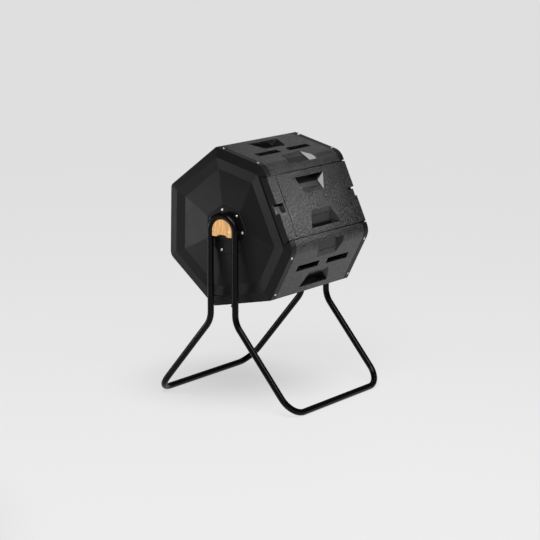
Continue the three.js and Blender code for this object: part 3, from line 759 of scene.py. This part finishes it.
class TUMBLER_OT_screws(bpy.types.Operator):
    """Screws of the hubs, the blocks, the legs and the panels"""

    bl_idname = "tumbler.screws"
    bl_label = "Screws"

    def execute(self, context):
        for end, sign in ENDS.items():
            self.hub_screws(end, sign)
            self.block_screws(end, sign)
            self.leg_screws(end)
            self.strip_screws(end, sign)
        return {"FINISHED"}

    def on_face(self, plate, screw, sign):
        """The nodes whose name starts with screw, and their spots on the plate's outer face."""
        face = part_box(plate)[0 if sign < 0 else 1][0]
        nodes = nodes_named(screw)
        spots = []
        for node in nodes:
            low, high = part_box(node)
            spots.append(((face, (low[1] + high[1]) / 2, (low[2] + high[2]) / 2), (sign, 0, 0)))
        return nodes, spots

    def hub_screws(self, end, sign):
        nodes, spots = self.on_face(f"hub_plate_{end}", f"hub_bolt_{end}_", sign)
        screws_at(f"hub_screws_{end}", spots, sizes().hub_screw, "drum", nodes)

    def block_screws(self, end, sign):
        nodes, spots = self.on_face(f"bearing_block_{end}", f"block_screw_{end}_", sign)
        screws_at(f"block_screws_{end}", spots, sizes().block_screw, "stand", nodes)

    def leg_screws(self, end):
        nodes = nodes_named(f"leg_screw_{end}_")
        arch_low, arch_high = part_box(f"arch_{end}")
        inner = arch_high[1] - (arch_high[0] - arch_low[0])
        spots = []
        for node in nodes:
            low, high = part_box(node)
            side = 1 if low[1] + high[1] > 0 else -1
            place = ((low[0] + high[0]) / 2, side * inner, (low[2] + high[2]) / 2)
            spots.append((place, (0, -side, 0)))
        screws_at(f"leg_screws_{end}", spots, sizes().leg_screw, "stand", nodes, "tube_paint")

    def strip_screws(self, end, sign):
        flange = 0.252
        seat = 0.2928
        middling = (-0.085, 0.085)
        beside_door = {1: (-0.055, 0.115), SIDES - 1: (-0.115, 0.055)}
        door_turn = math.atan2(DOOR_OUT.y, DOOR_OUT.z)
        spots = []
        for face in range(1, SIDES):
            turn = door_turn - STEP * face
            out = Vector((0, math.sin(turn), math.cos(turn)))
            across = Vector((0, -math.cos(turn), math.sin(turn)))
            for distance in beside_door.get(face, middling):
                place = AXLE + out * seat + across * distance
                spots.append(((sign * flange, place.y, place.z), tuple(out)))
        screws_at(f"strip_screws_{end}", spots, sizes().strip_screw, "drum")


class TUMBLER_OT_stage(bpy.types.Operator):
    """Plain floor with painted shade in its glow, soft studio lights and the camera"""

    bl_idname = "tumbler.stage"
    bl_label = "Stage"

    def execute(self, context):
        self.floor()
        self.world()
        stage = context.scene.tumbler_stage
        self.light("key", (-2.75, -1.25, 4.65), 2.8, stage.key_power)
        self.light("left", (-2.0, 2.6, 0.38), 0.7, stage.left_power)
        self.light("door", (0.75, -0.93, 1.15), 0.28, stage.door_power, DOOR_LEFT, 40)
        self.light("lip", (1.33, -0.97, 1.92), 0.2, stage.lip_power)
        self.light("rim", (2.12, -0.55, 2.75), 0.6, stage.rim_power)
        self.light("back", (2.37, 1.13, 2.35), 1.0, stage.back_power)
        self.light("near", (-3.3, -3.2, 2.5), 0.9, stage.near_power)
        self.light("front", (-1.23, -2.6, 3.2), 1.0, stage.front_power)
        self.camera(stage.lens)
        return {"FINISHED"}

    def floor(self):
        mesh = bpy.data.meshes.new("studio_floor")
        half = 40.0
        corners = [(-half, -half, 0), (half, -half, 0), (half, half, 0), (-half, half, 0)]
        mesh.from_pydata(corners, [], [(0, 1, 2, 3)])
        floor = new_object("studio_floor", mesh)
        r = Recipe("studio_floor")
        haze = r.noise(0.8, 3.0, 0.5)
        shade = r.mix(haze, tinted(colours().floor, 0.99), tinted(colours().floor, 1.01))
        # the floor's glow holds a painted soft shadow under the drum and a painted dark patch off the left
        # end; it falls to this grey where they are darkest
        deepest_painted_shade = (0.3, 0.3, 0.3)
        full = (1.0, 1.0, 1.0)
        mesh.materials.append(
            r.finish(
                Base_Color=shade,
                Roughness=0.55 + 0.05 * haze,
                Emission_Color=r.mix(self.painted_floor_shade(r), deepest_painted_shade, full),
                Emission_Strength=bpy.context.scene.tumbler_stage.floor_glow,
            )
        )

    def painted_floor_shade(self, r):
        """The glow weakens round a spot off the drum's left end, a painted dark patch for the left end cap to
        mirror, and a little under the drum, a painted soft shadow of the drum.
        """
        # painted dark patch: the glow drops round a spot off the left end, for the end cap to mirror
        painted_dark_patch = r.between(self.distance(r, -3.1, 0.9), 0.8, 1.9)
        # painted shadow: the glow drops softly under the drum
        painted_drum_shadow = r.between(self.distance(r, 0.0, 0.22), 0.05, 0.55)
        return painted_dark_patch * (painted_drum_shadow * 0.3 + 0.7)

    def distance(self, r, x, y):
        along = r.part("X") - x
        across = r.part("Y") - y
        return (along * along + across * across) ** 0.5

    def world(self):
        bpy.context.scene.view_settings.view_transform = "Standard"
        world = bpy.data.worlds.new("studio")
        bpy.context.scene.world = world
        world.use_nodes = True
        background = world.node_tree.nodes["Background"]
        background.inputs["Color"].default_value = (0.5, 0.5, 0.5, 1.0)
        background.inputs["Strength"].default_value = 0.12

    def light(self, name, place, size, watts, target=AXLE, spread=180):
        lamp = bpy.data.lights.new(name, "AREA")
        lamp.shape = "DISK"
        lamp.size = size
        lamp.energy = watts
        lamp.spread = math.radians(spread)
        holder = bpy.data.objects.new(name, lamp)
        holder.location = place
        holder.visible_camera = False
        aim = Vector(target) - Vector(place)
        holder.rotation_euler = aim.to_track_quat("-Z", "Y").to_euler()
        bpy.context.scene.collection.objects.link(holder)

    def camera(self, lens):
        eye = bpy.data.cameras.new("camera")
        eye.lens = lens
        eye.sensor_width = 36.0
        eye.clip_end = 200.0
        holder = bpy.data.objects.new("camera", eye)
        place = Vector((-6.162, -4.466, 2.078))
        right = Vector((0.5868, -0.8097, 0.0)).normalized()
        back = Vector((-0.7927, -0.5745, 0.2038)).normalized()
        up = back.cross(right)
        turn = Matrix((right, up, back)).transposed().to_4x4()
        holder.matrix_world = Matrix.Translation(place) @ turn
        bpy.context.scene.collection.objects.link(holder)
        bpy.context.scene.camera = holder


PIECES = (
    TUMBLER_OT_panels,
    TUMBLER_OT_door,
    TUMBLER_OT_end_caps,
    TUMBLER_OT_hubs,
    TUMBLER_OT_bearings,
    TUMBLER_OT_stand,
    TUMBLER_OT_screws,
    TUMBLER_OT_stage,
)


class TUMBLER_PT_pieces(bpy.types.Panel):
    """Lists the sizes, the colours and the pieces"""

    bl_idname = "TUMBLER_PT_pieces"
    bl_label = "Compost tumbler"
    bl_space_type = "VIEW_3D"
    bl_region_type = "UI"
    bl_category = "Tumbler"

    def draw(self, context):
        scene = context.scene
        for group in (scene.tumbler_sizes, scene.tumbler_colours, scene.tumbler_stage):
            for name in type(group).__annotations__:
                self.layout.prop(group, name)
        for piece in PIECES:
            self.layout.operator(piece.bl_idname)


CLASSES = (TumblerSizes, TumblerColours, TumblerStage, *PIECES, TUMBLER_PT_pieces)


def register():
    for cls in CLASSES:
        bpy.utils.register_class(cls)
    bpy.types.Scene.tumbler_sizes = bpy.props.PointerProperty(type=TumblerSizes)
    bpy.types.Scene.tumbler_colours = bpy.props.PointerProperty(type=TumblerColours)
    bpy.types.Scene.tumbler_stage = bpy.props.PointerProperty(type=TumblerStage)


def unregister():
    del bpy.types.Scene.tumbler_stage
    del bpy.types.Scene.tumbler_colours
    del bpy.types.Scene.tumbler_sizes
    for cls in reversed(CLASSES):
        bpy.utils.unregister_class(cls)


def main():
    register()
    for piece in PIECES:
        family, name = piece.bl_idname.split(".")
        getattr(getattr(bpy.ops, family), name)()


if __name__ == "__main__":
    main()
